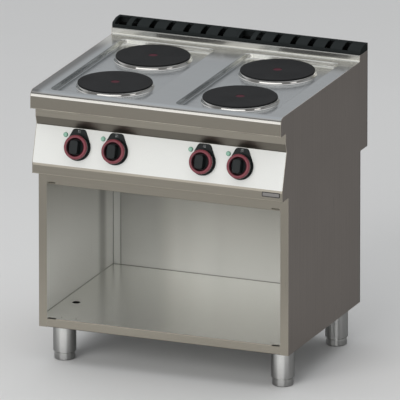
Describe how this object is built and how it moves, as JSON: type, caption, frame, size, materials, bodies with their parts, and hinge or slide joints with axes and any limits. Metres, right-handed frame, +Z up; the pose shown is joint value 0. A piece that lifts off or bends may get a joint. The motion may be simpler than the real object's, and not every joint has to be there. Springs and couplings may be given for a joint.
{
  "type": "electric range",
  "caption": "Commercial electric range: round cast-iron hot plates in pressed wells, sloping control panel with knobs, vent grille, open cabinet base on round legs.",
  "frame": {"origin": "middle of the overall box, on the floor", "axes": "+X to the user's right, +Y to the back, +Z up; the user faces +Y"},
  "size_m": [0.8, 0.7114, 0.911],
  "materials": {
    "steel_sheet": "satin stainless sheet",
    "bright_ring": "polished stainless",
    "iron": "matt black",
    "panel_white": "white gloss paint",
    "black_trim": "satin black",
    "black_knob": "satin black",
    "red_ring": "dark red",
    "lamp_green": "green lens",
    "steel_turned": "turned",
    "switch_body": "moulded",
    "zinc_steel": "zinc-coated sheet",
    "grille_black": "black enamel",
    "leg_steel": "polished tube",
    "foot_steel": "turned",
    "gland_grey": "moulded"
  },
  "bodies": {
    "range_body": {"back_panel": "steel_sheet", "base_channel_left": "zinc_steel", "base_channel_right": "zinc_steel", "bottom_shelf": "steel_sheet", "cabinet_ceiling": "steel_sheet", "cable_gland": "gland_grey", "cam_switch_1": "switch_body", "cam_switch_2": "switch_body", "cam_switch_3": "switch_body", "cam_switch_4": "switch_body", "control_panel": "panel_white", "front_apron": "steel_sheet", "hot_plate_front_left": "iron", "hot_plate_front_right": "iron", "hot_plate_rear_left": "iron", "hot_plate_rear_right": "iron", "knob_bezel_1": "black_trim", "knob_bezel_2": "black_trim", "knob_bezel_3": "black_trim", "knob_bezel_4": "black_trim", "leg_tube_front_left": "leg_steel", "leg_tube_front_right": "leg_steel", "leg_tube_rear_left": "leg_steel", "leg_tube_rear_right": "leg_steel", "panel_lip": "steel_sheet", "pilot_lamp_1": "lamp_green", "pilot_lamp_2": "lamp_green", "pilot_lamp_3": "lamp_green", "pilot_lamp_4": "lamp_green", "plate_clamp_left": "zinc_steel", "plate_clamp_right": "zinc_steel", "rear_cover": "zinc_steel", "side_panel_left": "steel_sheet", "side_panel_right": "steel_sheet", "spill_ring_front_left": "bright_ring", "spill_ring_front_right": "bright_ring", "spill_ring_rear_left": "bright_ring", "spill_ring_rear_right": "bright_ring", "terminal_block": "switch_body", "top_rail": "steel_sheet", "vent_grille_left": "grille_black", "vent_grille_right": "grille_black", "worktop": "steel_sheet"},
    "knob_1": {"knob_1": "black_knob", "knob_ring_1": "red_ring", "switch_shaft_1": "steel_turned"},
    "knob_2": {"knob_2": "black_knob", "knob_ring_2": "red_ring", "switch_shaft_2": "steel_turned"},
    "knob_3": {"knob_3": "black_knob", "knob_ring_3": "red_ring", "switch_shaft_3": "steel_turned"},
    "knob_4": {"knob_4": "black_knob", "knob_ring_4": "red_ring", "switch_shaft_4": "steel_turned"},
    "foot_front_left": {"levelling_foot_front_left": "foot_steel"},
    "foot_front_right": {"levelling_foot_front_right": "foot_steel"},
    "foot_rear_left": {"levelling_foot_rear_left": "foot_steel"},
    "foot_rear_right": {"levelling_foot_rear_right": "foot_steel"}
  },
  "joints": [
    {"name": "knob_1_turn", "type": "hinge", "parent": "range_body", "child": "knob_1", "pos_m": [-0.26, -0.31387, 0.6977], "axis": [0, -0.9576, 0.288], "continuous": true},
    {"name": "knob_2_turn", "type": "hinge", "parent": "range_body", "child": "knob_2", "pos_m": [-0.14, -0.31387, 0.6977], "axis": [0, -0.9576, 0.288], "continuous": true},
    {"name": "knob_3_turn", "type": "hinge", "parent": "range_body", "child": "knob_3", "pos_m": [0.14, -0.31387, 0.6977], "axis": [0, -0.9576, 0.288], "continuous": true},
    {"name": "knob_4_turn", "type": "hinge", "parent": "range_body", "child": "knob_4", "pos_m": [0.26, -0.31387, 0.6977], "axis": [0, -0.9576, 0.288], "continuous": true},
    {"name": "foot_front_left_screw", "type": "slide", "parent": "range_body", "child": "foot_front_left", "axis": [0, 0, -1], "range_m": [0, 0.04]},
    {"name": "foot_front_right_screw", "type": "slide", "parent": "range_body", "child": "foot_front_right", "axis": [0, 0, -1], "range_m": [0, 0.04]},
    {"name": "foot_rear_left_screw", "type": "slide", "parent": "range_body", "child": "foot_rear_left", "axis": [0, 0, -1], "range_m": [0, 0.04]},
    {"name": "foot_rear_right_screw", "type": "slide", "parent": "range_body", "child": "foot_rear_right", "axis": [0, 0, -1], "range_m": [0, 0.04]}
  ]
}
